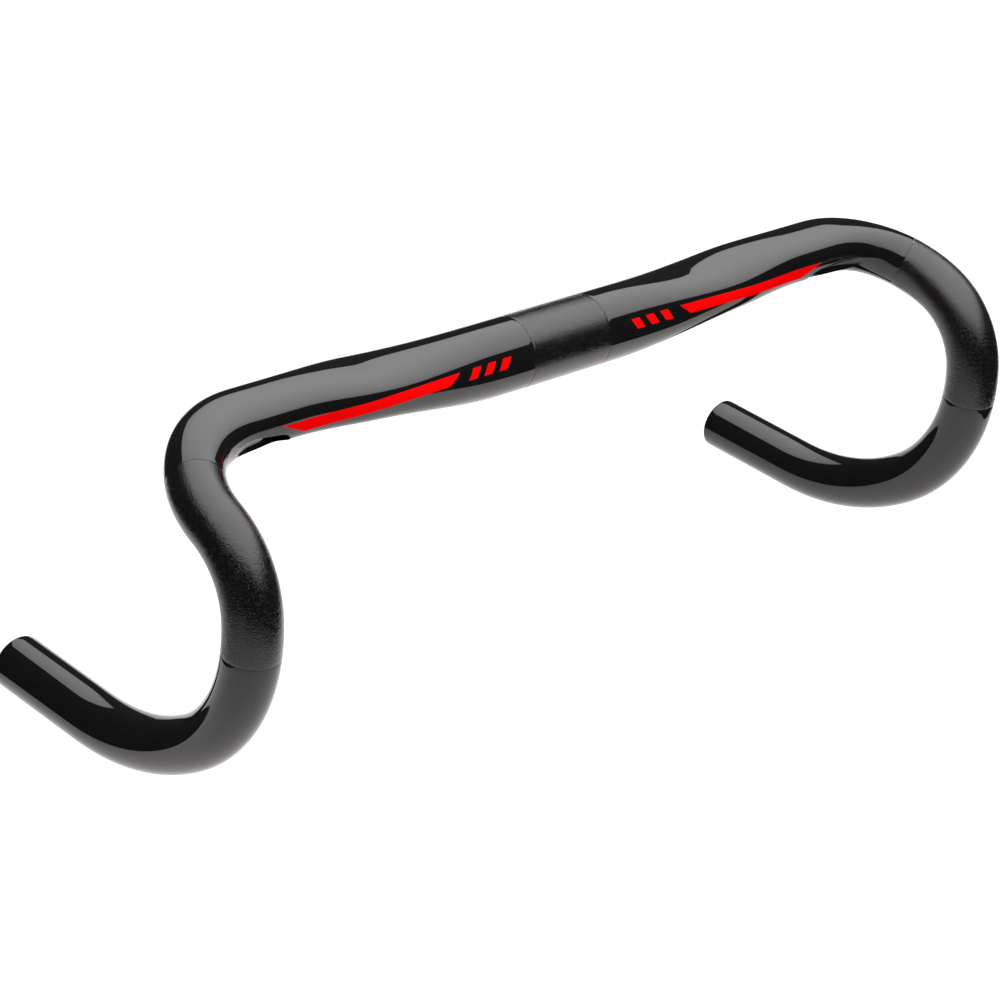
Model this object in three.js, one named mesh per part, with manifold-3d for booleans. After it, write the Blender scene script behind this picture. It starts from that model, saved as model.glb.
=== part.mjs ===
// Drop handlebar for a road bicycle: a hollow moulded bar with a round stem clamp, low aero tops,
// two bends and two compact drops. Millimetres. +X runs to the rider's left, -Y forward and +Z up.
// The origin is the centre of the stem clamp.

import * as THREE from 'three';
import { mergeVertices } from 'three/addons/utils/BufferGeometryUtils.js';
import Module from 'manifold-3d';

const wasm = await Module();
wasm.setup();

// ---------------------------------------------------------------- driving dimensions

// The line of the bar
const barWidth = 420; // between the centres of the drops
const topsRise = 6.7; // climb of the tops from the clamp to the bends
const bendRadius = 43;
const rampPitch = 19; // degrees downhill, of the bends and of the lever seats
const kneeRadius = 38; // the drop's three arcs, from the lever seat to the rear
const kneeUntil = 81; // degrees of pitch where the knee ends
const hookRadius = 71;
const hookUntil = 143;
const palmRadius = 106;
const palmUntil = 180; // the end of the drop points straight back
const endLength = 51;

// The tube
const clampDiameter = 31.8;
const barrelHalf = 34; // half length of the round barrel in the middle
const wingDepth = 31.6; // front to back, where the tops are full
const wingHeight = 20;
const wingInset = 62; // from the bend to where the tops are full
const shoulderDepth = 27; // of the tops where they narrow to the bends
const shoulderHeight = 20.2;
const shoulderInset = 22; // from the bend
const wingPower = 2.8; // outline exponent: 2 is an ellipse, more is squarer
const wingTilt = 8; // degrees that the front of the tops is turned down
const roundTurn = 65; // degrees of the bend where the bar is round again
const dropDiameter = 23.8;
const wall = 2;

// Sleeves and rough bands
const clearance = 0.3; // between pieces that touch
const seatTurn = 61; // degrees of the bend where the centre section ends and the lever zone starts
const seatLength = 77; // of the rough band under the lever clamp
const coatThickness = 0.4;
const clampBandLength = 44;
const spliceLength = 26;
const spliceThickness = 1.2;
const reinforcementLength = 60;
const reinforcementThickness = 1.5;

// Cable ports, guides and exits
const portRadius = 4.6;
const portWall = 1.4;
const portInset = 17; // from the bend to the mouth of the port
const portTurn = 26; // degrees of the bend where the groove of the port fades out
const portRunIn = 8; // length of the groove's tray behind the mouth
const portRunOn = 8; // the groove runs on past its tray, into the hollow
const exitReach = 52; // from the middle to the exit slot
const exitLength = 15;
const exitWidth = 9;
const frontGuideDiameter = 6.4; // lines the way of the brake hose
const rearGuideDiameter = 5.4; // lines the way of the shift cable
const guideWall = 0.5;
const guideSpacing = 8.4; // between the two guides of a side
const guideSetBack = 3; // from the tray of the port to the end of the guides
const guideLift = 1; // room under the guides, over the clearance, for the facets of the floor

// Stripes and marks on the front of the tops; heights are measured from the top of the climb
const stripeInset = 11; // from the bend to the tip
const stripeReach = 64; // from the middle to the inner end
const stripeUpper = 0.9;
const stripeLower = -3.4;
const stripeTip = 0.2;
const stripeHeel = -5.3; // the lower corner of the outer end
const stripeLean = 6; // how far the inner end and the marks lean
const markReach = 35; // from the middle to the first mark
const markLength = 4.5;
const markPitch = 8.5;
const markCount = 3;

// How finely the solids follow the bar
const outerSides = 24;
const roundSides = 16;
const topsStep = 17;
const bendStep = 7.5;
const hookStep = 13;
const palmStep = 18;
const grooveSides = 12;
const grooveSteps = 14;
const guideSides = 8;
const guideSteps = 6;
const guideStations = 5;
const exitArcSteps = 6;
const overshoot = 1; // how far a cutting body runs past an open end

// ---------------------------------------------------------------- materials

const finishes = {
  lacquer: { color: 0x0b0b0c, roughness: 0.08, metalness: 0 },
  grit: { color: 0x161617, roughness: 0.55, metalness: 0 },
  laminate: { color: 0x1d1e20, roughness: 0.5, metalness: 0 },
  guide: { color: 0x2c2d30, roughness: 0.45, metalness: 0 },
  red: { color: 0xe60000, roughness: 0.1, metalness: 0 },
};

// ---------------------------------------------------------------- the line of the bar

const { degToRad, lerp, smoothstep } = THREE.MathUtils;

// The bar's centreline is a chain of stretches on the rider's left, and the right half mirrors them.
// A stretch carries a frame whose z runs along the bar. At the clamp x points back and y up, and the
// frame follows the bends without twisting. The step sets how finely a solid follows the stretch.
const stretches = [];

function addStretch(length, step, motion) {
  const last = stretches.at(-1);
  const from = last ? last.until : 0;
  const start = last ? last.frameAt(last.until - last.from) : new THREE.Matrix4().makeBasis(
    new THREE.Vector3(0, 1, 0), new THREE.Vector3(0, 0, 1), new THREE.Vector3(1, 0, 0));
  const frameAt = (distance) => start.clone().multiply(motion(distance));
  stretches.push({ from, until: from + length, step, frameAt });
}

function addStraight(length, step, climb) {
  addStretch(length, step, (distance) => new THREE.Matrix4().makeTranslation(0, climb(distance), distance));
}

// Directions across the bar are degrees from the back, through up (90), to the front (180).
function directed(degrees, radius) {
  const angle = degToRad(degrees);
  return new THREE.Vector3(Math.cos(angle), Math.sin(angle), 0).multiplyScalar(radius);
}

function addArc(radius, degrees, towards, step) {
  const centre = directed(towards, radius);
  const axis = directed(towards + 90, 1);
  addStretch(radius * degToRad(degrees), step, (distance) =>
    new THREE.Matrix4().makeTranslation(centre)
      .multiply(new THREE.Matrix4().makeRotationAxis(axis, distance / radius))
      .multiply(new THREE.Matrix4().makeTranslation(centre.clone().negate())));
}

const forward = 180 + rampPitch;
const downward = 270 + rampPitch;
const topsLength = barWidth / 2 - bendRadius;
const wingReach = topsLength - wingInset;
const shoulderReach = topsLength - shoulderInset;
const topsClimb = (distance) => topsRise * smoothstep(distance, 0, shoulderReach - barrelHalf);
addStraight(barrelHalf, barrelHalf, () => 0);
addStraight(topsLength - barrelHalf, topsStep, topsClimb);
addArc(bendRadius, 90, forward, bendStep);
addArc(kneeRadius, kneeUntil - rampPitch, downward, bendStep);
addArc(hookRadius, hookUntil - kneeUntil, downward, hookStep);
addArc(palmRadius, palmUntil - hookUntil, downward, palmStep);
addStraight(endLength, endLength, () => 0);

// Distances along the bar
const intoBend = (degrees) => topsLength + bendRadius * degToRad(degrees);
const seatStart = intoBend(seatTurn);
const seatEnd = seatStart + seatLength;
const barEnd = stretches.at(-1).until;

// A point of the bar, measured back and up from its centreline.
function place(along, back, up) {
  const distance = Math.abs(along);
  const stretch = stretches.find((candidate) => distance <= candidate.until) ?? stretches.at(-1);
  const point = new THREE.Vector3(back, up, 0).applyMatrix4(stretch.frameAt(distance - stretch.from));
  if (along < 0) {
    point.x = -point.x;
  }
  return point;
}

// ---------------------------------------------------------------- the cross-section

// Half depth, half height, outline exponent and tilt of the bar at a distance from its middle.
function section(along) {
  const distance = Math.abs(along);
  const toWing = smoothstep(distance, barrelHalf, wingReach);
  const toShoulder = smoothstep(distance, wingReach, shoulderReach);
  const toRound = smoothstep(distance, topsLength, intoBend(roundTurn));
  const topsDepth = lerp(lerp(clampDiameter, wingDepth, toWing), shoulderDepth, toShoulder);
  const topsHeight = lerp(lerp(clampDiameter, wingHeight, toWing), shoulderHeight, toShoulder);
  return {
    halfDepth: lerp(topsDepth, dropDiameter, toRound) / 2,
    halfHeight: lerp(topsHeight, dropDiameter, toRound) / 2,
    power: lerp(lerp(2, wingPower, toWing), 2, toRound),
    tilt: degToRad(wingTilt) * toWing * (1 - toRound),
  };
}

// A point on the outline, moved out (or in, when negative) by the offset.
function onOutline(along, angle, offset) {
  const { halfDepth, halfHeight, power, tilt } = section(along);
  const back = Math.sign(Math.cos(angle)) * Math.abs(Math.cos(angle)) ** (2 / power);
  const up = Math.sign(Math.sin(angle)) * Math.abs(Math.sin(angle)) ** (2 / power);
  const point = new THREE.Vector2((halfDepth + offset) * back, (halfHeight + offset) * up);
  point.rotateAround(new THREE.Vector2(0, 0), tilt);
  return place(along, point.x, point.y);
}

// ---------------------------------------------------------------- solids

// Turns a closed geometry into a solid for joins and cuts.
function solidOf(geometry) {
  const bare = geometry.clone();
  bare.deleteAttribute('normal');
  bare.deleteAttribute('uv');
  const merged = mergeVertices(bare, 1e-3);
  const corners = merged.index.array;
  const triangles = [];
  for (let first = 0; first < corners.length; first += 3) {
    const [one, two, three] = corners.slice(first, first + 3);
    if (one !== two && two !== three && three !== one) {
      triangles.push(one, two, three);
    }
  }
  return new wasm.Manifold(new wasm.Mesh({
    numProp: 3,
    vertProperties: new Float32Array(merged.attributes.position.array),
    triVerts: new Uint32Array(triangles),
  }));
}

// The distances at which a solid that follows the bar has its rings.
function ringsBetween(from, to) {
  const shortest = 1;
  const marks = new Set([from, to]);
  for (const stretch of stretches) {
    const count = Math.ceil((stretch.until - stretch.from) / stretch.step);
    for (let index = 0; index <= count; index += 1) {
      const mark = lerp(stretch.from, stretch.until, index / count);
      [mark, -mark].filter((along) => along > from + shortest && along < to - shortest)
        .forEach((along) => marks.add(along));
    }
  }
  return [...marks].sort((one, other) => one - other);
}

// Carries a lathed form onto the bar. Its height is the distance along the bar, and its radius picks
// one of the offsets from the bar's outline; radius 0 is the centreline.
function carried(profile, offsets, sides) {
  const geometry = new THREE.LatheGeometry(profile, sides);
  const position = geometry.attributes.position;
  for (let index = 0; index < position.count; index += 1) {
    const layer = Math.round(Math.hypot(position.getX(index), position.getZ(index)));
    const angle = Math.atan2(position.getX(index), position.getZ(index));
    const along = position.getY(index);
    const point = layer === 0 ? place(along, 0, 0) : onOutline(along, angle, offsets[layer - 1]);
    position.setXYZ(index, point.x, point.y, point.z);
  }
  return solidOf(geometry);
}

// A filled length of bar.
function core(from, to, offset, sides) {
  const rings = ringsBetween(from, to).map((along) => new THREE.Vector2(1, along));
  const profile = [new THREE.Vector2(0, from), ...rings, new THREE.Vector2(0, to)];
  return carried(profile, [offset], sides);
}

// A hollow length of bar between an inner and an outer offset.
function sleeve(from, to, inner, outer, sides) {
  const rings = ringsBetween(from, to);
  const outside = rings.map((along) => new THREE.Vector2(2, along));
  const inside = rings.map((along) => new THREE.Vector2(1, along)).reverse();
  return carried([...outside, ...inside, outside[0]], [inner, outer], sides);
}

// A round tube along a curve; without a wall it is filled. The two ends of a full circle meet, so the
// outline takes half as many segments as the tube has sides.
function tubeAlong(points, diameter, tubeWall, sides, steps) {
  const outline = new THREE.Shape().absarc(0, 0, diameter / 2, 0, 2 * Math.PI, false);
  if (tubeWall > 0) {
    outline.holes.push(new THREE.Path().absarc(0, 0, diameter / 2 - tubeWall, 0, 2 * Math.PI, true));
  }
  const extrudePath = new THREE.CatmullRomCurve3(points);
  return solidOf(new THREE.ExtrudeGeometry(outline, { curveSegments: sides / 2, steps, extrudePath }));
}

// ---------------------------------------------------------------- cable ports and exits

// The port is a round groove. It fades in on the front of the bend, sinks towards the middle of the
// bar and runs on into the hollow of the tops. A station of its line has a direction across the bar and
// the depth of the groove's floor below the bar's surface.
const portReach = topsLength - portInset;
const portFade = intoBend(portTurn);
const portSlope = 10; // length of the steep part behind the mouth, and of the run out of the surface
const portStations = [
  { along: portReach - portRunIn - portRunOn, direction: 200, depth: 14 },
  { along: portReach - portRunIn, direction: 207, depth: 12 },
  { along: portReach, direction: 216, depth: 9.4 },
  { along: portReach + portSlope, direction: 213, depth: 4.8 },
  { along: (portReach + portSlope + portFade) / 2, direction: 203, depth: 2.4 },
  { along: portFade, direction: 192, depth: 0.2 },
  { along: portFade + portSlope, direction: 186, depth: -3 },
];

function portLine(sign) {
  return portStations.map(({ along, direction, depth }) => {
    const offset = directed(direction, section(along).halfDepth + portRadius - depth);
    return place(sign * along, offset.x, offset.y);
  });
}

function groove(sign) {
  return tubeAlong(portLine(sign), 2 * portRadius, 0, grooveSides, grooveSteps);
}

// The tray is the wall round the groove. It stops short of the groove's inner end, which stays open.

function grooveTray(sign) {
  return tubeAlong(portLine(sign).slice(1), 2 * (portRadius + portWall), 0, grooveSides, grooveSteps);
}

// The exit slot is a rounded opening in the underside, between the clamp and the wing.
function exitSlot(sign) {
  const half = (exitLength - exitWidth) / 2;
  const outline = new THREE.Shape();
  outline.absarc(half, 0, exitWidth / 2, -Math.PI / 2, Math.PI / 2, false);
  outline.absarc(-half, 0, exitWidth / 2, Math.PI / 2, 3 * Math.PI / 2, false);
  const options = { depth: clampDiameter, bevelEnabled: false, curveSegments: exitArcSteps };
  const geometry = new THREE.ExtrudeGeometry(outline, options);
  geometry.translate(sign * exitReach, 0, -clampDiameter);
  return solidOf(geometry);
}

// ---------------------------------------------------------------- stripes and marks

// An outline whose edges are all moved outwards by the same amount. Corners run clockwise.
function grown(corners, amount) {
  return corners.map((corner, index) => {
    const before = corners.at(index - 1);
    const after = corners[(index + 1) % corners.length];
    const quarterTurn = ({ x, y }) => new THREE.Vector2(-y, x).normalize();
    const one = quarterTurn(corner.clone().sub(before));
    const other = quarterTurn(after.clone().sub(corner));
    return corner.clone().addScaledVector(one.clone().add(other), amount / (1 + one.dot(other)));
  });
}

// A block that reaches forwards from the middle plane of the bar. Its corners are distances from the
// middle and heights.
function block(sign, corners) {
  const outline = new THREE.Shape(corners.map(({ x, y }) => new THREE.Vector2(sign * x, y)));
  const geometry = new THREE.ExtrudeGeometry(outline, { depth: clampDiameter, bevelEnabled: false });
  geometry.rotateX(Math.PI / 2);
  return solidOf(geometry);
}

const stripeTop = topsRise + stripeUpper;
const stripeFoot = topsRise + stripeLower;

function stripeCorners() {
  const outer = topsLength - stripeInset;
  return [
    new THREE.Vector2(stripeReach, stripeTop),
    new THREE.Vector2(outer, topsRise + stripeTip),
    new THREE.Vector2(outer - 2 * stripeLean, topsRise + stripeHeel),
    new THREE.Vector2(stripeReach + stripeLean, stripeFoot),
  ];
}

function markCorners(index) {
  const from = markReach + index * markPitch;
  return [
    new THREE.Vector2(from, stripeTop),
    new THREE.Vector2(from + markLength, stripeTop),
    new THREE.Vector2(from + markLength + stripeLean / 2, stripeFoot),
    new THREE.Vector2(from + stripeLean / 2, stripeFoot),
  ];
}

// A patch of film on the bar's surface, and the rebate that it lies in.
const filmDepth = coatThickness + clearance;

function film(sign, corners) {
  const skin = sleeve(0, topsLength, -coatThickness, 0, outerSides);
  return block(sign, corners).intersect(sign > 0 ? skin : skin.mirror([1, 0, 0]));
}

function filmRebate(sign, corners) {
  const skin = sleeve(0, topsLength, -filmDepth, clearance, outerSides);
  return block(sign, grown(corners, clearance)).intersect(sign > 0 ? skin : skin.mirror([1, 0, 0]));
}

// ---------------------------------------------------------------- the pieces

const handlebar = new THREE.Group();

function addMesh(name, solid, finish) {
  const { vertProperties, triVerts } = solid.getMesh();
  const geometry = new THREE.BufferGeometry();
  geometry.setAttribute('position', new THREE.BufferAttribute(vertProperties, 3));
  geometry.setIndex(new THREE.BufferAttribute(triVerts, 1));
  geometry.computeVertexNormals();
  const mesh = new THREE.Mesh(geometry, new THREE.MeshStandardMaterial(finishes[finish]));
  mesh.name = name;
  handlebar.add(mesh);
}

const hands = [
  { side: 'left', sign: 1 },
  { side: 'right', sign: -1 },
];
const marks = Array.from({ length: markCount }, (_, index) => index);

// A sleeve on one side, given from its near end to its far end.
function sideSleeve(sign, near, far, inner, outer) {
  const [from, to] = sign > 0 ? [near, far] : [-far, -near];
  return sleeve(from, to, inner, outer, roundSides);
}

function addCentreSection() {
  let body = core(-seatStart, seatStart, 0, outerSides);
  let hollow = core(-seatStart - overshoot, seatStart + overshoot, -wall, roundSides);
  const band = clampBandLength / 2 + clearance;
  body = body.subtract(sleeve(-band, band, -filmDepth, clearance, outerSides));
  for (const { sign } of hands) {
    body = body.subtract(groove(sign)).subtract(exitSlot(sign));
    hollow = hollow.subtract(grooveTray(sign));
    body = body.subtract(filmRebate(sign, stripeCorners()));
    for (const index of marks) {
      body = body.subtract(filmRebate(sign, markCorners(index)));
    }
  }
  addMesh('centre_section', body.subtract(hollow), 'lacquer');
}

function addClampPieces() {
  const band = clampBandLength / 2;
  addMesh('clamp_grip_coat', sleeve(-band, band, -coatThickness, 0, outerSides), 'grit');
  const outer = -wall - clearance;
  const half = reinforcementLength / 2;
  const ring = sleeve(-half, half, outer - reinforcementThickness, outer, roundSides);
  addMesh('clamp_reinforcement', ring, 'laminate');
}

function addDrop(side, sign) {
  const start = seatStart + clearance;
  const tube = sideSleeve(sign, start, barEnd, -wall, 0);
  const rebate = sideSleeve(sign, start - overshoot, seatEnd + clearance, -filmDepth, clearance);
  addMesh(`drop_${side}`, tube.subtract(rebate), 'lacquer');
  addMesh(`lever_grip_coat_${side}`, sideSleeve(sign, start, seatEnd, -coatThickness, 0), 'grit');
  const outer = -wall - clearance;
  const half = spliceLength / 2;
  const splice = sideSleeve(sign, seatStart - half, seatStart + half, outer - spliceThickness, outer);
  addMesh(`splice_sleeve_${side}`, splice, 'laminate');
}

// The guides lie side by side on the floor of the hollow, from the port to the exit slot.
function addGuides(side, sign) {
  const guides = [
    { name: 'front', diameter: frontGuideDiameter, back: -guideSpacing / 2 },
    { name: 'rear', diameter: rearGuideDiameter, back: guideSpacing / 2 },
  ];
  const near = exitReach + exitLength / 2 + clearance;
  const far = portReach - portRunIn - portWall - guideSetBack;
  for (const { name, diameter, back } of guides) {
    const points = Array.from({ length: guideStations }, (_, index) => {
      const along = lerp(far, near, index / (guideStations - 1));
      const rise = wall + clearance + guideLift + diameter / 2;
      return place(sign * along, back, rise - section(along).halfHeight);
    });
    const guide = tubeAlong(points, diameter, guideWall, guideSides, guideSteps);
    addMesh(`${name}_cable_guide_${side}`, guide, 'guide');
  }
}

addCentreSection();
addClampPieces();
for (const { side, sign } of hands) {
  addDrop(side, sign);
  addGuides(side, sign);
  addMesh(`stripe_${side}`, film(sign, stripeCorners()), 'red');
  for (const index of marks) {
    addMesh(`mark_bar_${side}_${index + 1}`, film(sign, markCorners(index)), 'red');
  }
}

export default handlebar;
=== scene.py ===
from math import atan2, copysign, cos, hypot, pi, radians, sin

import bmesh
import bpy
from mathutils import Matrix, Vector


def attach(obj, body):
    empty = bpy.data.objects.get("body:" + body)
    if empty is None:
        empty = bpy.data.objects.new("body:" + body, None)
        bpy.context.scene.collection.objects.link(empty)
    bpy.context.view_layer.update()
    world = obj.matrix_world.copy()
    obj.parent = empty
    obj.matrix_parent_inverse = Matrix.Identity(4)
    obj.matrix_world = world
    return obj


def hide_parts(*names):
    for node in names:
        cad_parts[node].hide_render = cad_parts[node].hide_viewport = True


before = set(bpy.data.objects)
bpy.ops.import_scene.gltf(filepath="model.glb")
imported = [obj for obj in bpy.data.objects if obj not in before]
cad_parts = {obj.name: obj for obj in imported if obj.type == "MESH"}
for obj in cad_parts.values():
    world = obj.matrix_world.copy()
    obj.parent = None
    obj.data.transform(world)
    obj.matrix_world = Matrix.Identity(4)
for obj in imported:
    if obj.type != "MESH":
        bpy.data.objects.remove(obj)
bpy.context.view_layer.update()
mm = 0.001
print("frame loaded:", len(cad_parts), "nodes")

# Camera: a long lens, a little above the bar and in front of its right side
camera = {
    "lens": 123.69,
    "azimuth": -46.121,
    "elevation": 27.467,
    "roll": 6.806,
    "distance": 1.44012,
    "shiftRight": 0.019808,
    "shiftUp": 0.066438,
}


def lookAlong(azimuth, elevation, roll):
    # Columns are the camera's right, up and back
    a, e, r = radians(azimuth), radians(elevation), radians(roll)
    back = Vector((sin(a) * cos(e), -cos(a) * cos(e), sin(e)))
    right = Vector((cos(a), sin(a), 0))
    up = back.cross(right)
    tiltedRight = cos(r) * right + sin(r) * up
    tiltedUp = -sin(r) * right + cos(r) * up
    return Matrix((tiltedRight, tiltedUp, back)).transposed()


def addCamera(c):
    turn = lookAlong(c["azimuth"], c["elevation"], c["roll"])
    data = bpy.data.cameras.new("studioCamera")
    data.sensor_width = 36
    data.lens = c["lens"]
    data.clip_start = 0.05
    data.clip_end = 60
    obj = bpy.data.objects.new("studioCamera", data)
    bpy.context.scene.collection.objects.link(obj)
    place = turn.col[2] * c["distance"] - turn.col[0] * c["shiftRight"] - turn.col[1] * c["shiftUp"]
    obj.matrix_world = Matrix.LocRotScale(place, turn, None)
    bpy.context.scene.camera = obj


addCamera(camera)

# The line of the bar, as in the CAD model. Lengths are in metres and angles in degrees
line = {
    "width": 0.420,
    "rise": 6.7 * mm,
    "barrelHalf": 34 * mm,
    "bendRadius": 43 * mm,
    "rampPitch": 19,
    "knee": (38 * mm, 81),
    "hook": (71 * mm, 143),
    "palm": (106 * mm, 180),
    "endLength": 51 * mm,
    "blend": 7 * mm,  # half length over which curvature changes are eased
}
tube = {
    "clamp": 31.8 * mm,
    "wingDepth": 31.6 * mm,
    "wingHeight": 20 * mm,
    "wingInset": 62 * mm,
    "shoulderDepth": 27 * mm,
    "shoulderHeight": 20.2 * mm,
    "shoulderInset": 22 * mm,
    "wingPower": 2.8,
    "wingTilt": 8,  # degrees that the front of the tops is turned down
    "roundTurn": 65,
    "drop": 23.8 * mm,
    "wall": 2 * mm,
    "inset": 0.03 * mm,  # keeps the smooth skin inside the box of the faceted CAD model
}


def ease(value, low, high):
    t = min(max((value - low) / (high - low), 0), 1)
    return t * t * (3 - 2 * t)


def mix(one, other, share):
    return one + (other - one) * share


stretches = []


def addStretch(length, motion):
    if stretches:
        last = stretches[-1]
        start, begin = last["at"](last["until"] - last["begin"]), last["until"]
    else:
        start, begin = Matrix(((0, 0, 1, 0), (1, 0, 0, 0), (0, 1, 0, 0), (0, 0, 0, 1))), 0
    stretches.append({"begin": begin, "until": begin + length, "at": lambda d: start @ motion(d)})


def directed(degrees, radius):
    return Vector((cos(radians(degrees)), sin(radians(degrees)), 0)) * radius


def addArc(radius, degrees, towards):
    centre, axis = directed(towards, radius), directed(towards + 90, 1)

    def motion(d):
        turn = Matrix.Rotation(d / radius, 4, axis)
        return Matrix.Translation(centre) @ turn @ Matrix.Translation(-centre)

    addStretch(radius * radians(degrees), motion)


topsLength = line["width"] / 2 - line["bendRadius"]
wingReach = topsLength - tube["wingInset"]
shoulderReach = topsLength - tube["shoulderInset"]


def topsMotion(d):
    return Matrix.Translation((0, line["rise"] * ease(d, line["barrelHalf"], shoulderReach), d))


addStretch(topsLength, topsMotion)
addArc(line["bendRadius"], 90, 180 + line["rampPitch"])
pitch = line["rampPitch"]
for arc in ("knee", "hook", "palm"):
    addArc(line[arc][0], line[arc][1] - pitch, 270 + line["rampPitch"])
    pitch = line[arc][1]
addStretch(line["endLength"], lambda d: Matrix.Translation((0, 0, d)))
barEnd = stretches[-1]["until"]


def intoBend(degrees):
    return topsLength + line["bendRadius"] * radians(degrees)


def frameAt(along):
    d = abs(along)
    stretch = next((s for s in stretches if d <= s["until"]), stretches[-1])
    return stretch["at"](d - stretch["begin"])


def sectionAt(along):
    d = abs(along)
    toWing = ease(d, line["barrelHalf"], wingReach)
    toShoulder = ease(d, wingReach, shoulderReach)
    toRound = ease(d, topsLength, intoBend(tube["roundTurn"]))
    depth = mix(mix(tube["clamp"], tube["wingDepth"], toWing), tube["shoulderDepth"], toShoulder)
    height = mix(mix(tube["clamp"], tube["wingHeight"], toWing), tube["shoulderHeight"], toShoulder)
    power = mix(mix(2, tube["wingPower"], toWing), 2, toRound)
    tilt = radians(tube["wingTilt"]) * toWing * (1 - toRound)
    return mix(depth, tube["drop"], toRound) / 2, mix(height, tube["drop"], toRound) / 2, power, tilt


# A bar that is only arcs and lines would show a kink in its reflections at every joint, so each
# ring is a weighted mean of its neighbours along the bar
tapReach = 4  # the weight falls to nothing this many steps away
taps = [
    (k * line["blend"] / tapReach, 1 + cos(pi * k / tapReach))
    for k in range(1 - tapReach, tapReach)
]
tapSum = sum(weight for _, weight in taps)
ringCache = {}
ringKeys = 1e7  # places along the bar in a metre that are told apart


def ringAt(along):
    key = round(along * ringKeys)
    if key not in ringCache:
        entries = []
        for shift, weight in taps:
            at = along + shift
            m = frameAt(at)
            if at < 0:
                m = Matrix.Diagonal((-1, 1, 1, 1)) @ m
            entries.append((weight / tapSum, m, sectionAt(at)))
        ringCache[key] = entries
    return ringCache[key]


def onBar(along, angle, offset):
    # A point on the outline, moved out by the offset; angle 0 is the back, a quarter turn is up
    c, s = cos(angle), sin(angle)
    point = Vector((0, 0, 0))
    for weight, m, (halfDepth, halfHeight, power, tilt) in ringAt(along):
        back = copysign(abs(c) ** (2 / power), c) * (halfDepth - tube["inset"] + offset)
        up = copysign(abs(s) ** (2 / power), s) * (halfHeight - tube["inset"] + offset)
        turned = (back * cos(tilt) - up * sin(tilt), back * sin(tilt) + up * cos(tilt), 0)
        point += weight * (m @ Vector(turned))
    return point


def centreOf(along):
    point = Vector((0, 0, 0))
    for weight, m, _ in ringAt(along):
        point += weight * m.translation
    return point


# Meshes


weld = 1e-6
creaseAngle = 38


def finishMesh(bm, name):
    bmesh.ops.recalc_face_normals(bm, faces=bm.faces)
    mesh = bpy.data.meshes.new(name)
    bm.to_mesh(mesh)
    bm.free()
    mesh.shade_smooth()
    mesh.set_sharp_from_angle(angle=radians(creaseAngle))
    obj = bpy.data.objects.new(name, mesh)
    bpy.context.scene.collection.objects.link(obj)
    return obj


def carried(name, profile, sides, closed=True):
    # The profile is a list of (distance along the bar, offset), spun a full turn at a radius of 1 and
    # laid onto the bar. An offset of None is the centreline
    bm = bmesh.new()
    radii = [0 if offset is None else 1 + offset for _, offset in profile]
    verts = [bm.verts.new((radius, 0, along)) for radius, (along, _) in zip(radii, profile)]
    following = verts[1:] + verts[:1] if closed else verts[1:]
    edges = [bm.edges.new(pair) for pair in zip(verts, following)]
    turn = {"cent": (0, 0, 0), "axis": (0, 0, 1), "angle": 2 * pi}
    bmesh.ops.spin(bm, geom=verts + edges, steps=sides, use_merge=True, **turn)
    for vert in bm.verts:
        radius = hypot(vert.co.x, vert.co.y)
        if radius < 0.5:
            vert.co = centreOf(vert.co.z)
        else:
            vert.co = onBar(vert.co.z, atan2(vert.co.y, vert.co.x), radius - 1)
    bmesh.ops.remove_doubles(bm, verts=bm.verts, dist=weld)
    return finishMesh(bm, name)


def stations(begin, until, step):
    count = max(1, round(abs(until - begin) / step))
    return [mix(begin, until, k / count) for k in range(1, count)]


def quarterTurn(steps):
    return [k * pi / 2 / steps for k in range(steps + 1)]


def roundedEdge(along, offset, towards, depth, radius):
    # Rings that take the profile round an outer edge: towards is the side that the end face looks to
    rings = [
        (along - towards * radius * (1 - sin(t)), offset - radius * (1 - cos(t)))
        for t in quarterTurn(4)
    ]
    return rings + [(along, offset - depth)]


def sweep(name, points, radius, sides):
    # A round bar along the points
    bm = bmesh.new()
    ring = bmesh.ops.create_circle(bm, cap_ends=True, segments=sides, radius=radius)["verts"]
    places = []
    for before, point, after in zip(points[:1] + points, points, points[1:] + points[-1:]):
        towards = (after - before).normalized()
        turn = towards.to_track_quat("Z", "Y").to_matrix().to_4x4()
        places.append(Matrix.Translation(point) @ turn)
    bmesh.ops.transform(bm, matrix=places[0], verts=ring)
    face = bm.faces[:][0]
    for before, after in zip(places, places[1:]):
        grown = bmesh.ops.extrude_face_region(bm, geom=[face])
        moved = [item for item in grown["geom"] if isinstance(item, bmesh.types.BMVert)]
        bmesh.ops.transform(bm, matrix=after @ before.inverted(), verts=moved)
        old = face
        face = next(item for item in grown["geom"] if isinstance(item, bmesh.types.BMFace))
        if old is not face and before is not places[0]:
            bm.faces.remove(old)
    return finishMesh(bm, name)


def curveThrough(points, count):
    # An even run of points on a smooth curve through the given ones
    ends = [2 * points[0] - points[1]] + points + [2 * points[-1] - points[-2]]
    run = []
    for k in range(count + 1):
        share = k / count * (len(points) - 1)
        i = min(int(share), len(points) - 2)
        t = share - i
        a, b, c, d = ends[i : i + 4]
        square = (2 * a - 5 * b + 4 * c - d) * t * t
        cube = (3 * b - a - 3 * c + d) * t * t * t
        run.append(0.5 * (2 * b + (c - a) * t + square + cube))
    return run


def cutAway(target, tool):
    step = target.modifiers.new("cut", "BOOLEAN")
    step.operation = "DIFFERENCE"
    step.solver = "MANIFOLD"
    step.object = tool
    cut = target.evaluated_get(bpy.context.evaluated_depsgraph_get())
    result = bpy.data.meshes.new_from_object(cut)
    target.modifiers.remove(step)
    old = target.data
    result.name = old.name
    target.data = result
    bpy.data.meshes.remove(old)
    bpy.data.objects.remove(tool)


# Materials


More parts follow.
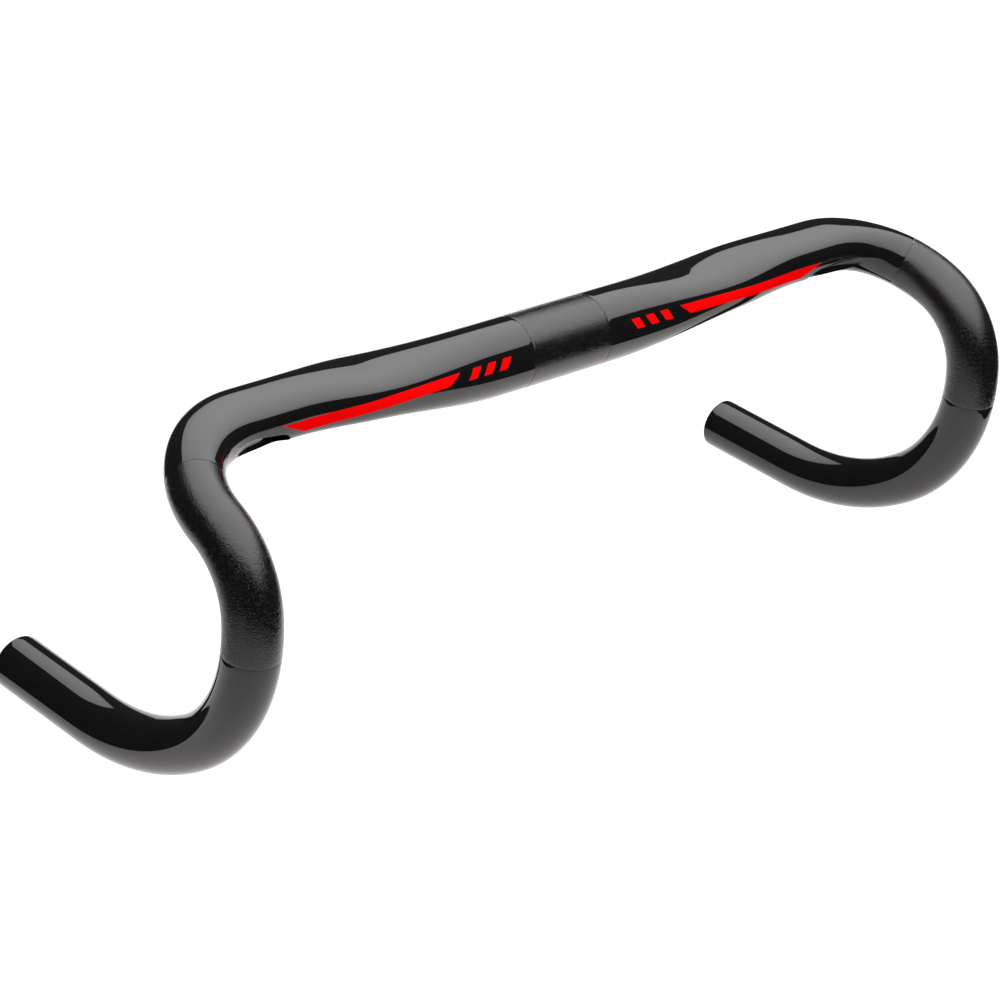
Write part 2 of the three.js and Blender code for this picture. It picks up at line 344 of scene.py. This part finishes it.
class Signal:
    # A shader value that is worked with like a number
    def __init__(self, tree, socket):
        self.tree, self.socket = tree, socket

    def maths(self, operation, one, other):
        node = self.tree.nodes.new("ShaderNodeMath")
        node.operation = operation
        for port, value in zip(node.inputs, (one, other)):
            if isinstance(value, Signal):
                self.tree.links.new(value.socket, port)
            else:
                port.default_value = value
        return Signal(self.tree, node.outputs[0])

    def __add__(self, other):
        return self.maths("ADD", self, other)

    def __mul__(self, other):
        return self.maths("MULTIPLY", self, other)


class Finish:
    # One procedural material
    def __init__(self, name, **values):
        self.material = bpy.data.materials.new(name)
        self.material.use_nodes = True
        self.tree = self.material.node_tree
        self.shader = self.tree.nodes["Principled BSDF"]
        self.coords = self.node("ShaderNodeTexCoord").outputs["Object"]
        self.set(self.shader, values)

    def set(self, node, values):
        for key, value in values.items():
            port = node.inputs[key]
            if isinstance(value, Signal):
                self.tree.links.new(value.socket, port)
            elif isinstance(value, bpy.types.NodeSocket):
                self.tree.links.new(value, port)
            elif isinstance(value, bpy.types.Node):
                self.tree.links.new(value.outputs[0], port)
            elif port.type == "RGBA" and len(value) == 3:
                port.default_value = (*value, 1)
            else:
                port.default_value = value

    def node(self, kind, settings=None, **values):
        node = self.tree.nodes.new(kind)
        for key, value in (settings or {}).items():
            setattr(node, key, value)
        self.set(node, {key.replace("_", " "): value for key, value in values.items()})
        return node

    def noise(self, scale, detail, roughness=0.5):
        look = {"Scale": scale, "Detail": detail, "Roughness": roughness}
        node = self.node("ShaderNodeTexNoise", Vector=self.coords, **look)
        return Signal(self.tree, node.outputs[0])

    def cells(self, scale):
        node = self.node("ShaderNodeTexVoronoi", Vector=self.coords, Scale=scale)
        return Signal(self.tree, node.outputs["Distance"])

    def spread(self, signal, low, high, outLow=0.0, outHigh=1.0):
        node = self.node("ShaderNodeMapRange", {"interpolation_type": "SMOOTHSTEP"}, Value=signal)
        self.set(node, {"From Min": low, "From Max": high, "To Min": outLow, "To Max": outHigh})
        return Signal(self.tree, node.outputs[0])

    def tint(self, share, dark, light):
        # Sockets 0, 6 and 7 are the mix node's factor and its two colours
        node = self.node("ShaderNodeMix", {"data_type": "RGBA"})
        self.set(node, {0: share, 6: dark, 7: light})
        return node.outputs[2]

    def bump(self, height, distance):
        return self.node("ShaderNodeBump", Height=height, Distance=distance).outputs[0]

    def wear(self, *pieces):
        for piece in pieces:
            piece.data.materials.clear()
            piece.data.materials.append(self.material)


lacquerLook = {
    "dark": (0.0028, 0.0028, 0.003),
    "light": (0.0065, 0.0062, 0.006),
    "gloss": 0.018,
    "haze": 0.02,
    "dustHaze": 0.05,
    "waviness": 0.012 * mm,
}


def makeLacquer():
    # Deep gloss over black laminate, with a faint waviness and a few specks of dust
    f, look = Finish("blackLacquer", IOR=1.5), lacquerLook
    wave = f.noise(90, 2)
    dust = f.spread(f.cells(260), 0.03, 0.06, 1.0, 0.0)
    f.set(
        f.shader,
        {
            "Base Color": f.tint(f.noise(1400, 3), look["dark"], look["light"]),
            "Roughness": f.noise(35, 2) * look["haze"] + dust * look["dustHaze"] + look["gloss"],
            "Normal": f.bump(wave, look["waviness"]),
        },
    )
    return f


gritLook = {
    "dark": (0.002, 0.002, 0.002),
    "light": (0.013, 0.012, 0.0115),
    "smooth": 0.05,
    "dull": 0.14,
    "relief": 0.17 * mm,
}


def makeGrit():
    # Fine hard grains sprayed under a thin lacquer
    f, look = Finish("gritCoat", IOR=1.5), gritLook
    coarse = f.noise(1400, 3, 0.6)
    grains = f.spread(f.cells(1200), 0.1, 0.45, 1.0, 0.0)
    height = coarse * 0.7 + grains * 0.3
    f.set(
        f.shader,
        {
            "Base Color": f.tint(f.spread(coarse, 0.45, 0.62), look["dark"], look["light"]),
            "Roughness": f.spread(f.noise(1200, 2), 0.3, 0.7, look["smooth"], look["dull"]),
            "Normal": f.bump(height, look["relief"]),
        },
    )
    return f


filmLook = {
    "dark": (0.93, 0.001, 0.002),
    "light": (1.0, 0.002, 0.003),
    "gloss": 0.03,
    "haze": 0.02,
    "waviness": 0.012 * mm,
}


def makeFilm():
    # Strong red that keeps its colour under the lights
    f, look = Finish("redFilm", IOR=1.5, **{"Specular IOR Level": 0.0}), filmLook
    f.set(
        f.shader,
        {
            "Base Color": f.tint(f.noise(160, 2), look["dark"], look["light"]),
            "Roughness": f.noise(35, 2) * look["haze"] + look["gloss"],
            "Normal": f.bump(f.noise(90, 2), look["waviness"]),
        },
    )
    return f


laminateLook = {
    "dark": (0.012, 0.012, 0.013),
    "light": (0.045, 0.046, 0.05),
    "weaveTurn": (0.3, 0.2, radians(45)),
    "weaveScale": 300.0,
    "relief": 0.06 * mm,
}


def makeLaminate():
    # Woven fibres in dull resin
    f, look = Finish("bareLaminate", IOR=1.5), laminateLook
    turned = f.node("ShaderNodeMapping", Vector=f.coords, Rotation=look["weaveTurn"])
    threads = {"Vector": turned, "Scale": look["weaveScale"]}
    warp = f.node("ShaderNodeTexWave", {"bands_direction": "X"}, **threads)
    weft = f.node("ShaderNodeTexWave", {"bands_direction": "Y"}, **threads)
    weave = Signal(f.tree, warp.outputs[1]) * 0.5 + Signal(f.tree, weft.outputs[1]) * 0.5
    f.set(
        f.shader,
        {
            "Base Color": f.tint(weave, look["dark"], look["light"]),
            "Roughness": weave * 0.2 + 0.35,
            "Normal": f.bump(weave, look["relief"]),
        },
    )
    return f


guideLook = {
    "dark": (0.03, 0.031, 0.034),
    "light": (0.055, 0.056, 0.06),
    "relief": 0.02 * mm,
}


def makeGuide():
    # Scuffed dark plastic
    f, look = Finish("guideLiner", IOR=1.46), guideLook
    scuff = f.noise(500, 3)
    f.set(
        f.shader,
        {
            "Base Color": f.tint(scuff, look["dark"], look["light"]),
            "Roughness": scuff * 0.2 + 0.35,
            "Normal": f.bump(scuff, look["relief"]),
        },
    )
    return f


lacquer, grit, redFilm = makeLacquer(), makeGrit(), makeFilm()
laminate, guide = makeLaminate(), makeGuide()
print("materials made")

# The centre section, with its ports, exits and the rebate under the clamp's rough band
fits = {
    "gap": 0.06 * mm,
    "coat": 0.4 * mm,
    "edge": 0.12 * mm,
    "seatTurn": 61,
    "seatLength": 77 * mm,
    "clampBand": 44 * mm,
    "lap": 1 * mm,  # how far a cutting body runs past an open end
}
seatStart = intoBend(fits["seatTurn"])
seatEnd = seatStart + fits["seatLength"]
rebate = fits["coat"] + fits["gap"]

ports = {
    "radius": 4.6 * mm,
    "wall": 1.4 * mm,
    "inset": 17 * mm,
    "turn": 26,
    "runIn": 8 * mm,
    "runOn": 8 * mm,
    "slope": 10 * mm,  # the steep part behind the mouth, and the run out of the surface
    "steps": 90,
    "sides": 64,
    "traySides": 48,
}
exits = {"reach": 52 * mm, "length": 15 * mm, "width": 9 * mm, "sides": 64}
shell = {"sides": 144, "step": 1.6 * mm, "innerSides": 64, "innerStep": 6 * mm, "crease": 32}
portReach = topsLength - ports["inset"]


def portPoint(sign, along, direction, depth):
    # The groove's floor lies at the depth below the skin, in a direction across the bar
    offset = directed(direction, sectionAt(along)[0] + ports["radius"] - depth)
    point = frameAt(along) @ offset
    return Vector((sign * point.x, point.y, point.z))


def portLine(sign, runOn):
    fade, slope = intoBend(ports["turn"]), ports["slope"]
    points = [
        portPoint(sign, portReach - ports["runIn"], 207, 12 * mm),
        portPoint(sign, portReach, 216, 9.4 * mm),
        portPoint(sign, portReach + slope, 213, 4.8 * mm),
        portPoint(sign, mix(portReach + slope, fade, 0.5), 203, 2.4 * mm),
        portPoint(sign, fade, 192, 0.2 * mm),
        portPoint(sign, fade + slope, 186, -3 * mm),
    ]
    if runOn:
        inside = portReach - ports["runIn"] - ports["runOn"]
        points.insert(0, portPoint(sign, inside, 200, 14 * mm))
    return curveThrough(points, ports["steps"])


def exitTool(sign):
    # A rounded slot, cut straight up through the underside
    bm = bmesh.new()
    half = (exits["length"] - exits["width"]) / 2
    circle = {"cap_ends": True, "segments": exits["sides"], "radius": exits["width"] / 2}
    ring = bmesh.ops.create_circle(bm, **circle)["verts"]
    for vert in ring:
        vert.co.x += copysign(half, vert.co.x) + sign * exits["reach"]
        vert.co.z = -tube["clamp"]
    grown = bmesh.ops.extrude_face_region(bm, geom=bm.faces[:])
    moved = [item for item in grown["geom"] if isinstance(item, bmesh.types.BMVert)]
    bmesh.ops.translate(bm, verts=moved, vec=(0, 0, tube["clamp"]))
    return finishMesh(bm, "exitTool")


def makeCentre():
    band = fits["clampBand"] / 2 + fits["gap"]
    edge, lap = fits["edge"], fits["lap"]
    outer = [(-seatStart, None)]
    outer += roundedEdge(-seatStart, 0, -1, lap, edge)[::-1]
    outer += [(a, 0) for a in stations(-seatStart + 2 * edge, -band - 2 * edge, shell["step"])]
    outer += roundedEdge(-band, 0, 1, rebate, edge)
    outer += [(a, -rebate) for a in stations(-band, band, shell["step"])]
    outer += roundedEdge(band, 0, -1, rebate, edge)[::-1]
    outer += [(a, 0) for a in stations(band + 2 * edge, seatStart - 2 * edge, shell["step"])]
    outer += roundedEdge(seatStart, 0, 1, lap, edge)
    outer += [(seatStart, None)]
    body = carried("centreShell", outer, shell["sides"], closed=False)
    reach = seatStart + lap
    inner = [(-reach, None), (-reach, -tube["wall"])]
    inner += [(a, -tube["wall"]) for a in stations(-reach, reach, shell["innerStep"])]
    inner += [(reach, -tube["wall"]), (reach, None)]
    hollow = carried("hollow", inner, shell["innerSides"], closed=False)
    trayRadius = ports["radius"] + ports["wall"]
    for sign in (-1, 1):
        cutAway(hollow, sweep("tray", portLine(sign, False), trayRadius, ports["traySides"]))
        cutAway(body, sweep("groove", portLine(sign, True), ports["radius"], ports["sides"]))
        cutAway(body, exitTool(sign))
    cutAway(body, hollow)
    body.data.shade_smooth()
    body.data.set_sharp_from_angle(angle=radians(shell["crease"]))
    lacquer.wear(body)
    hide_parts("centre_section")
    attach(body, "root")
    return body


centre = makeCentre()
print("centre section:", len(centre.data.polygons), "faces")

# The rough bands
coats = {"sides": 144, "step": 1.6 * mm, "innerStep": 6.4 * mm, "edge": 0.1 * mm}


def makeCoat(name, node, begin, until):
    thick, edge = fits["coat"], coats["edge"]
    profile = roundedEdge(begin, 0, -1, thick, edge)[::-1]
    profile += [(a, 0) for a in stations(begin + 2 * edge, until - 2 * edge, coats["step"])]
    profile += roundedEdge(until, 0, 1, thick, edge)
    profile += [(a, -thick) for a in stations(until, begin, coats["innerStep"])]
    coat = carried(name, profile, coats["sides"])
    grit.wear(coat)
    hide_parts(node)
    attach(coat, "root")
    return coat


half = fits["clampBand"] / 2
makeCoat("clampCoat", "clamp_grip_coat", -half, half)
hands = {"left": 1, "right": -1}
for side, sign in hands.items():
    ends = sorted((sign * (seatStart + fits["gap"]), sign * seatEnd))
    makeCoat(f"leverCoat_{side}", f"lever_grip_coat_{side}", *ends)
print("rough bands made")

# The drops
drops = {
    "sides": 128,
    "step": 1.8 * mm,
    "innerStep": 5.4 * mm,
    "lip": 0.7 * mm,
    "lipTurns": (0, 0.4, 0.8, 1.2, pi / 2),
}


def makeDrop(side, sign):
    start, seat = seatStart + fits["gap"], seatEnd + fits["gap"]
    edge, lip, wall = fits["edge"], drops["lip"], tube["wall"]
    profile = [(start, -rebate)]
    profile += [(a, -rebate) for a in stations(start, seat, drops["step"])]
    profile += roundedEdge(seat, 0, -1, rebate, edge)[::-1]
    profile += [(a, 0) for a in stations(seat + 2 * edge, barEnd - 2 * lip, drops["step"])]
    for t in drops["lipTurns"]:
        profile.append((barEnd - lip * (1 - sin(t)), -lip * (1 - cos(t))))
    for t in drops["lipTurns"]:
        profile.append((barEnd - lip * (1 - cos(t)), lip * (1 - sin(t)) - wall))
    profile += [(a, -wall) for a in stations(barEnd - 2 * lip, start, drops["innerStep"])]
    profile += [(start, -wall)]
    profile = [(sign * along, offset) for along, offset in profile]
    drop = carried(f"dropTube_{side}", profile, drops["sides"])
    lacquer.wear(drop)
    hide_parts(f"drop_{side}")
    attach(drop, "root")


for side, sign in hands.items():
    makeDrop(side, sign)
print("drops made")

# Red stripes and marks on the front of the tops; heights are measured from the top of the climb
stripes = {
    "inset": 11 * mm,
    "reach": 64 * mm,
    "upper": 0.9 * mm,
    "lower": -3.4 * mm,
    "tip": 0.2 * mm,
    "heel": -5.3 * mm,
    "lean": 6 * mm,
    "proud": 0.03 * mm,
    "thickness": 0.06 * mm,
    "margin": 2 * mm,
    "columnWidth": 1 * mm,
    "rows": 48,
    "span": (110, 240),  # degrees across the front, from near the top to under the nose
}
marks = {"reach": 35 * mm, "length": 4.5 * mm, "pitch": 8.5 * mm, "count": 3}


def makeFilmPatch(name, node, sign, corners):
    # A grid laid on the front of the bar and trimmed to the corners
    xs = [x for x, _ in corners]
    low, high = min(xs) - stripes["margin"], max(xs) + stripes["margin"]
    bm = bmesh.new()
    columns = round((high - low) / stripes["columnWidth"])
    bmesh.ops.create_grid(bm, x_segments=columns, y_segments=stripes["rows"], size=1)
    for vert in bm.verts:
        along = mix(low, high, (vert.co.x + 1) / 2)
        angle = radians(mix(*stripes["span"], (vert.co.y + 1) / 2))
        vert.co = onBar(sign * along, angle, stripes["proud"])
    middle = Vector((sign * sum(xs) / len(xs), 0, sum(z for _, z in corners) / len(corners)))
    points = [Vector((sign * x, 0, z)) for x, z in corners]
    for one, other in zip(points, points[1:] + points[:1]):
        across = (other - one).cross(Vector((0, 1, 0))).normalized()
        if across.dot(middle - one) > 0:
            across = -across
        geom = bm.verts[:] + bm.edges[:] + bm.faces[:]
        trim = {"plane_co": one, "plane_no": across, "clear_outer": True, "dist": weld / 10}
        bmesh.ops.bisect_plane(bm, geom=geom, **trim)
    bmesh.ops.recalc_face_normals(bm, faces=bm.faces)
    if sum(face.normal.y for face in bm.faces) > 0:
        bmesh.ops.reverse_faces(bm, faces=bm.faces)
    bmesh.ops.solidify(bm, geom=bm.faces[:], thickness=stripes["thickness"])
    patch = finishMesh(bm, name)
    redFilm.wear(patch)
    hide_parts(node)
    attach(patch, "root")


def makeFilms(side, sign):
    top, foot = line["rise"] + stripes["upper"], line["rise"] + stripes["lower"]
    outer, lean = topsLength - stripes["inset"], stripes["lean"]
    corners = [
        (stripes["reach"], top),
        (outer, line["rise"] + stripes["tip"]),
        (outer - 2 * lean, line["rise"] + stripes["heel"]),
        (stripes["reach"] + lean, foot),
    ]
    makeFilmPatch(f"stripeFilm_{side}", f"stripe_{side}", sign, corners)
    for k in range(marks["count"]):
        x = marks["reach"] + k * marks["pitch"]
        corners = [
            (x, top),
            (x + marks["length"], top),
            (x + marks["length"] + lean / 2, foot),
            (x + lean / 2, foot),
        ]
        makeFilmPatch(f"markFilm_{side}_{k + 1}", f"mark_bar_{side}_{k + 1}", sign, corners)


for side, sign in hands.items():
    makeFilms(side, sign)
print("stripes and marks made")

# Inner pieces keep their CAD shape
for name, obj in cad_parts.items():
    if "guide" in name:
        guide.wear(obj)
    elif "sleeve" in name or "reinforcement" in name:
        laminate.wear(obj)

# Studio: a pale sweep under and behind the bar, and one large panel overhead
studio = {
    "floorDrop": 0.45,
    "floorHalf": 0.82,
    "floorNear": -1.6,
    "floorFar": 1.5,
    "sweepRadius": 0.3,
    "wallTop": -0.12,
    "panelHeight": 1.0,
    "panelBack": 1.8,
    "panelFront": -1.25,
    "panelLeft": -1.1,
    "panelRight": 1.7,
    "hotSpot": (0.1, 0.3),
    "hotSpread": 2.835,
    "edgeGlow": 0.25,  # share of the glow that is left beyond the spread
    "panelGlow": 3.9,
    "floorDark": (0.7, 0.68, 0.67),
    "floorLight": (0.72, 0.7, 0.69),
    "floorGlow": (1.0, 0.97, 0.95),
    "floorGlowStrength": 0.3,
    "sweepSteps": 16,
    "seenWhite": 1.15,
    "fill": 0.04,
}
ahead = Vector((0.721, 0.693, 0))  # away from the camera
aside = Vector((0.693, -0.721, 0))  # to the camera's right


def studioPoint(forwards, right, height):
    return ahead * forwards + aside * right + Vector((0, 0, height))


def makeSweep():
    bm = bmesh.new()
    drop, radius = -studio["floorDrop"], studio["sweepRadius"]
    runs = [(studio["floorNear"], drop)]
    for t in quarterTurn(studio["sweepSteps"]):
        runs.append((studio["floorFar"] - radius + radius * sin(t), drop + radius * (1 - cos(t))))
    runs.append((studio["floorFar"], studio["wallTop"]))
    verts = [bm.verts.new(studioPoint(f, -studio["floorHalf"], z)) for f, z in runs]
    edges = [bm.edges.new(pair) for pair in zip(verts, verts[1:])]
    grown = bmesh.ops.extrude_edge_only(bm, edges=edges)
    moved = [item for item in grown["geom"] if isinstance(item, bmesh.types.BMVert)]
    bmesh.ops.translate(bm, verts=moved, vec=aside * 2 * studio["floorHalf"])
    sweepObj = finishMesh(bm, "studioSweep")
    f = Finish("paleSweep", Roughness=0.9)
    f.set(
        f.shader,
        {
            "Base Color": f.tint(f.noise(3, 1), studio["floorDark"], studio["floorLight"]),
            "Emission Color": studio["floorGlow"],
            "Emission Strength": studio["floorGlowStrength"],
        },
    )
    f.wear(sweepObj)


def makePanel():
    # The glow is strongest at the hot spot and falls off towards the edges
    bm = bmesh.new()
    bmesh.ops.create_grid(bm, x_segments=1, y_segments=1, size=1)
    for vert in bm.verts:
        f = mix(studio["panelFront"], studio["panelBack"], (vert.co.x + 1) / 2)
        r = mix(studio["panelLeft"], studio["panelRight"], (vert.co.y + 1) / 2)
        vert.co = studioPoint(f, r, studio["panelHeight"])
    panel = finishMesh(bm, "studioPanel")
    f = Finish("panelGlow", Roughness=1.0)
    hot = studioPoint(*studio["hotSpot"], studio["panelHeight"])
    away = f.node("ShaderNodeVectorMath", {"operation": "DISTANCE"})
    f.set(away, {0: f.coords, 1: hot})
    distance = Signal(f.tree, away.outputs["Value"])
    share = f.spread(distance, 0.0, studio["hotSpread"], 1.0, studio["edgeGlow"])
    f.set(
        f.shader,
        {
            "Base Color": (0, 0, 0),
            "Emission Color": f.tint(share, (0, 0, 0), (1, 1, 1)),
            "Emission Strength": studio["panelGlow"],
        },
    )
    f.wear(panel)
    panel.visible_camera = False


makeSweep()
makePanel()

world = bpy.data.worlds.new("studioWorld")
bpy.context.scene.world = world
world.use_nodes = True
tree = world.node_tree
backdrop = tree.nodes["Background"]
backdrop.inputs["Color"].default_value = (1, 1, 1, 1)
seen = tree.nodes.new("ShaderNodeLightPath")
level = Signal(tree, seen.outputs["Is Camera Ray"]) * studio["seenWhite"] + studio["fill"]
tree.links.new(level.socket, backdrop.inputs["Strength"])
bpy.context.scene.view_settings.view_transform = "Standard"
bpy.context.scene.view_settings.look = "None"
print("studio set")
